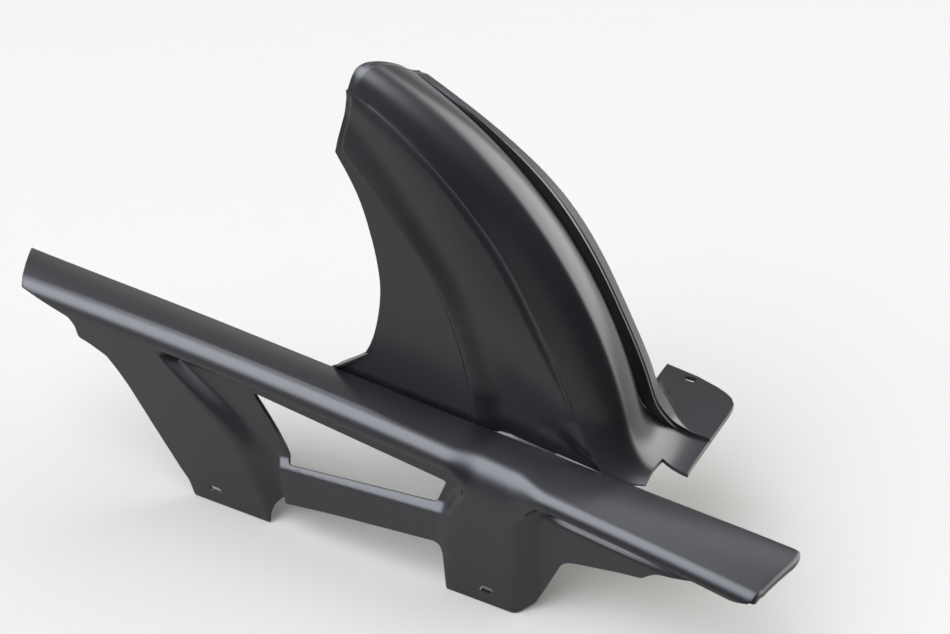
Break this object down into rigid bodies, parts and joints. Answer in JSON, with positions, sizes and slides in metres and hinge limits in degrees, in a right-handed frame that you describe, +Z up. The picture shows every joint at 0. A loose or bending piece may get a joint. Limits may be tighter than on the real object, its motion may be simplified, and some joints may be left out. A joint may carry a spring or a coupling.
{
  "type": "rear hugger mudguard",
  "caption": "Rear wheel hugger and chain guard in one thin black moulding, with a curved arch, a raised rib, a windowed guard and slotted lugs.",
  "frame": {"origin": "centre of the rear lug's slot, on the outer face of the lug", "axes": "+X forward along the motorcycle, +Y inboard from the chain guard's outer face, +Z up as it stands"},
  "size_m": [0.614, 0.186, 0.3616],
  "materials": {
    "body": "satin black as moulded"
  },
  "bodies": {
    "root": {"rear_hugger": "body"}
  },
  "joints": []
}
